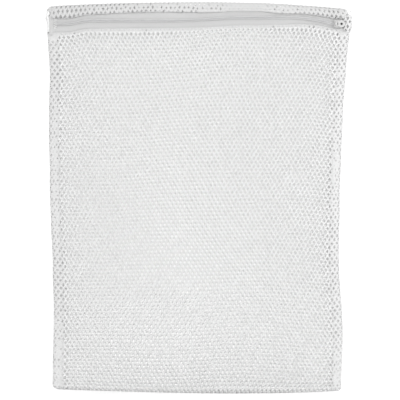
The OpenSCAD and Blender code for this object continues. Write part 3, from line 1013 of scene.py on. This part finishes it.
def tape_surface(inner_z, outer_line):
    """A tape: u along the zip, v from 0 at its inner edge to 1. Its ends turn back into the bag."""
    def surface(u, v):
        right_end = across(HALF, ZIP_Z) - RIGHT_INSET
        reach = np.where(u < 0, -LEFT_END, right_end) - END_R
        angle = np.clip((np.abs(u) - reach) / END_R, 0, np.pi / 2)
        x = np.where(u < 0, -1.0, 1.0) * np.where(angle > 0, reach + END_R * np.sin(angle), np.abs(u))
        past_tack = near(u, left_tack_high[0], TACK_EASE)
        inside = inner_z + (ZIP_Z - inner_z) * past_tack
        inside = inside + zip_rise(x)
        z = inside + (outer_line(x) - inside) * v
        ribs = RIB_HEIGHT * np.sin(v * 2 * np.pi * RIBS)
        ripple = RIPPLE * np.sin(u / RIPPLE_LENGTH + 3 * v)
        y = TAPE_Y + ripple + ribs + END_R * (1 - np.cos(angle))
        y = y + np.maximum(np.abs(u) - reach - END_R * np.pi / 2, 0)
        return np.stack([x, y, z], -1)
    return surface


def tape_piece(name, inner_z, outer_line):
    """A tape between its inner edge at inner_z and its outer edge along outer_line(x)."""
    along = np.arange(TAPE_START, TAPE_END, TAPE_STEP)
    up = np.linspace(0, 1, TAPE_ROWS)
    points, faces = ribbon(along, up, tape_surface(inner_z, outer_line), TAPE_T)
    return add_piece(name, points, faces, tape_white)


UNDER_NET = 3.0  # how far each tape reaches behind the net it is sewn to


def upper_outside(x):
    """Height of the upper tape's outer edge."""
    return band_line(x) + UNDER_NET


def lower_outside(x):
    return hem_line(x) - UNDER_NET


upper_tape = tape_piece("upper_tape", tape_low[2], upper_outside)
place(upper_tape, "upper_zipper_tape")
lower_tape = tape_piece("lower_tape", low_tape_high[2], lower_outside)
place(lower_tape, "lower_zipper_tape", on_lip=True)

# ---------------- coils

COIL_PITCH = 1.27
WIRE_R = 0.3
COIL_Y = (coil_low[1] + coil_high[1]) / 2
COIL_OUT = 1.3  # outer reach of a loop's centre line
COIL_IN = -0.3  # how far the heads cross the zip line
COIL_MIDDLE, COIL_REACH = (COIL_OUT + COIL_IN) / 2, (COIL_OUT - COIL_IN) / 2
COIL_DEPTH = 0.66  # half the depth of a loop
COIL_START = left_tack_high[0] - 0.6
COIL_END = right_tack_high[0]
STEPS_PER_TURN = 14
PARTING, PARTING_START, PARTING_LENGTH = 0.4, -0.5, 3.0  # measured from the slider's middle
CORD_R = 0.36
CHAIN_R = 0.12
CHAIN_LINES = (0.1, 0.6)  # its two threads, out from the coil's middle
CHAIN_DEPTH, CHAIN_WAVE = 0.95, 0.12


def coil_line(x, up, out):
    """Height of a line that runs along the coil at the distance out from the zip's middle."""
    parted = PARTING * eased(x - SLIDER_X, PARTING_START, PARTING_LENGTH)
    return ZIP_Z + zip_rise(x) + up * (out + parted)


def coil_path(up):
    """The wound filament; the lower coil's heads lie halfway between the upper one's."""
    turns = int((COIL_END - COIL_START) / COIL_PITCH)
    t = np.linspace(0, turns * 2 * np.pi, turns * STEPS_PER_TURN + 1)
    x = COIL_START + COIL_PITCH * (t / (2 * np.pi) + (0.5 if up < 0 else 0.0))
    z = coil_line(x, up, COIL_MIDDLE + COIL_REACH * np.sin(t))
    return np.stack([x, COIL_Y + COIL_DEPTH * np.cos(t), z], -1)


def cord_path(up):
    """The cord that runs inside a coil."""
    x = np.arange(COIL_START, COIL_END, 1.0)
    return np.stack([x, COIL_Y + 0.0 * x, coil_line(x, up, COIL_MIDDLE)], -1)


def chain_path(up, out):
    """The chain stitch that holds a coil to its tape: it dips between the turns."""
    x = np.arange(COIL_START, COIL_END, COIL_PITCH / 6)
    wave = np.cos((x - COIL_START) * 2 * np.pi / COIL_PITCH)
    y = COIL_Y - CHAIN_DEPTH - CHAIN_WAVE * wave
    return np.stack([x, y, coil_line(x, up, COIL_MIDDLE + out)], -1)


for name, up in (("upper", 1), ("lower", -1)):
    coil = add_threads(f"{name}_coil", [tube(coil_path(up), WIRE_R)], coil_nylon)
    place(coil, f"{name}_zipper_coil", on_lip=up < 0)
    cord = add_threads(f"{name}_cord", [tube(cord_path(up), CORD_R)], thread_white)
    place(cord, f"{name}_filler_cord", on_lip=up < 0)
    chains = [tube(chain_path(up, out), CHAIN_R, 5) for out in CHAIN_LINES]
    chain = add_threads(f"{name}_coil_chain", chains, thread_white)
    place(chain, f"{name}_coil_stitching", on_lip=up < 0)

# ---------------- net beyond the closed slider

END_OUT = 0.3  # how far its turn stands outside the bag's right edge
END_SPREAD = 0.4  # by how much its turn is wider than it is deep
END_DEPTH = 0.3  # how far it lies in front of the hem
OVER_COIL, OVER_COIL_SPREAD = 1.7, 2.6  # its rise over the coil
END_LEFT, END_RIGHT = slider_high[0] + 0.5, HALF + 7.5
END_LOW, END_HIGH = HEM_Z - 1, ZIP_Z + 8


def zip_end_surface(u, v):
    """Net that joins the band to the front face past the slider, and turns back into the side seam."""
    start = across(HALF, v) + END_OUT - END_R
    angle = np.clip((u - start) / END_R, 0, np.pi / 2)
    x = np.where(angle > 0, start + (END_R + END_SPREAD) * np.sin(angle), u)
    over_coil = OVER_COIL * hill(v - ZIP_Z, OVER_COIL_SPREAD) * (1 - np.sin(angle))
    y = HEM_Y - END_DEPTH - over_coil + END_R * (1 - np.cos(angle))
    return np.stack([x, y, v + zip_rise(x)], -1)


points, faces = hex_net(zip_end_surface, (END_LEFT, END_RIGHT), (END_LOW, END_HIGH), still)
zip_end_net = add_piece("zip_end_net", points, faces, net_end_white)
place(zip_end_net)

# ---------------- stitches and tacks

STITCH_PITCH, STITCH_LENGTH = 3.2, 2.5
STITCH_R = 0.19
STITCH_ARCH = 0.42  # height of a stitch's arch
STITCH_SUNK = 0.25  # how far its ends lie in the cloth
STITCH_JITTER = 0.06
STITCH_MARGIN = 8.0  # between the row's ends and the side seams
STITCH_INSET = 1.6  # from the net's edge to the row


def stitch_tubes(line, depth):
    """Lockstitch: each visible stitch arches out of the cloth and dives back into it."""
    tubes = []
    count = int((2 * HALF - 2 * STITCH_MARGIN) / STITCH_PITCH)
    s = np.linspace(-1, 1, 9)
    for i in range(count):
        centre = (i - (count - 1) / 2) * STITCH_PITCH
        x = centre + s * STITCH_LENGTH / 2
        y = depth - STITCH_ARCH * (1 - s**4) + STITCH_SUNK
        z = line(x) + rng.normal(0, STITCH_JITTER)
        tubes.append(tube(np.stack([x, y, z], -1), STITCH_R))
    return tubes


upper_row = stitch_tubes(lambda x: band_line(x) + STITCH_INSET, BAND_Y - NET_T / 2)
upper_stitches = add_threads("upper_stitches", upper_row, thread_white)
place(upper_stitches, "upper_tape_stitching")
lower_row = stitch_tubes(lambda x: hem_line(x) - STITCH_INSET, HEM_Y - NET_T / 2)
lower_stitches = add_threads("lower_stitches", lower_row, thread_white)
place(lower_stitches, "lower_tape_stitching", on_lip=True)

SWINGS = 9  # of a tack's zigzag
TACK_R = 0.32
TACK_OUT, TACK_DIVE = 0.15, 0.5  # how far it stands in front of its CAD box, and dives back at each turn


def tack_tubes(low, high):
    """A bar tack: dense zigzag over the tape's end."""
    middle = (low[0] + high[0]) / 2
    s = np.linspace(0, 1, SWINGS * 12 + 1)
    swing = np.cos(s * SWINGS * np.pi)
    x = middle + (high[0] - low[0]) / 2 * swing
    z = low[2] + (high[2] - low[2]) * s
    y = low[1] - TACK_OUT + TACK_DIVE * swing**4
    return [tube(np.stack([x, y, z], -1), TACK_R)]


TACKS = (("left", left_tack_low, left_tack_high), ("right", right_tack_low, right_tack_high))
for name, low, high in TACKS:
    tack = add_threads(f"{name}_tack", tack_tubes(low, high), thread_white)
    place(tack, f"{name}_bar_tack")

# ---------------- slider and pull keep their CAD shape

HARDWARE = (("slider_body", slider_enamel), ("slider_pull", slider_enamel), ("locking_pin", pin_steel_and_hole_shade))
BEVEL = 0.18
for name, material in HARDWARE:
    part = frame["nodes"][name]
    part.data.materials.clear()
    part.data.materials.append(material)
    bevel = part.modifiers.new("edges", "BEVEL")
    bevel.width = BEVEL * MM
    bevel.segments = 3
    bevel.limit_method = "ANGLE"
    bevel.angle_limit = math.radians(40)
    bevel.harden_normals = False

# ---------------- studio

SEEN_WHITE, SOFT_LIGHT = 1.12, 1.06  # the backdrop as the camera sees it, and as it lights the bag
FLOOR_SIDE = 4.0  # half the floor's width, in metres
FLOOR_Z = -0.0004
FLOOR_DARK, FLOOR_LIGHT = 0.88, 0.92
FLOOR_GLOW = 0.12  # added where the camera sees the floor, to meet the backdrop's tone

scene = bpy.context.scene
scene.view_settings.view_transform = "Standard"
world = bpy.data.worlds.new("studio")
scene.world = world
world.use_nodes = True
backdrop = world.node_tree.nodes["Background"]
backdrop.inputs["Color"].default_value = (1, 1, 1, 1)
seen = node(world.node_tree, "ShaderNodeLightPath").outputs["Is Camera Ray"]
level = remapped(world.node_tree, seen, SOFT_LIGHT, SEEN_WHITE)
link(world.node_tree, level, backdrop.inputs["Strength"])

floor_material, floor_tree, floor_bsdf = shader("floor_pale")
patches = node(floor_tree, "ShaderNodeTexNoise", Scale=3.0).outputs["Fac"]
floor_tone = remapped(floor_tree, patches, FLOOR_DARK, FLOOR_LIGHT)
link(floor_tree, floor_tone, floor_bsdf.inputs["Base Color"])
floor_seen = node(floor_tree, "ShaderNodeLightPath").outputs["Is Camera Ray"]
link(floor_tree, remapped(floor_tree, floor_seen, 0.0, FLOOR_GLOW), floor_bsdf.inputs["Emission Strength"])
set_inputs(floor_bsdf, {"Roughness": 0.9, "Emission Color": (1, 1, 1, 1)})
floor_mesh = bpy.data.meshes.new("floor")
corners = [(x * FLOOR_SIDE, y * FLOOR_SIDE, FLOOR_Z) for x, y in ((-1, -1), (1, -1), (1, 1), (-1, 1))]
floor_mesh.from_pydata(corners, [], [(0, 1, 2, 3)])
floor_mesh.materials.append(floor_material)
floor = bpy.data.objects.new("floor", floor_mesh)
scene.collection.objects.link(floor)


def area_light(name, location, target, size, power):
    """A square light that faces its target; both places are in metres."""
    data = bpy.data.lights.new(name, "AREA")
    data.size = size
    data.energy = power
    obj = bpy.data.objects.new(name, data)
    scene.collection.objects.link(obj)
    obj.location = location
    obj.rotation_mode = "QUATERNION"
    obj.rotation_quaternion = (Vector(target) - Vector(location)).to_track_quat("-Z", "Y")


area_light("key", (1.3, -0.9, 0.5), (0, 0, 0.2), size=0.8, power=4.5)
area_light("top", (0.0, -0.6, 2.2), (0, 0, 0), size=2.0, power=4.0)

LENS, SENSOR = 300, 36
VIEW_WIDTH = 0.409  # metres that the picture spans at the bag
CAMERA_X, CAMERA_Z = 0.002, 0.19775
camera_data = bpy.data.cameras.new("camera")
camera_data.lens = LENS
camera_data.sensor_width = SENSOR
camera_data.clip_end = 50
camera = bpy.data.objects.new("camera", camera_data)
scene.collection.objects.link(camera)
camera.location = (CAMERA_X, -VIEW_WIDTH * LENS / SENSOR, CAMERA_Z)
camera.rotation_euler = (math.pi / 2, 0, 0)
scene.camera = camera
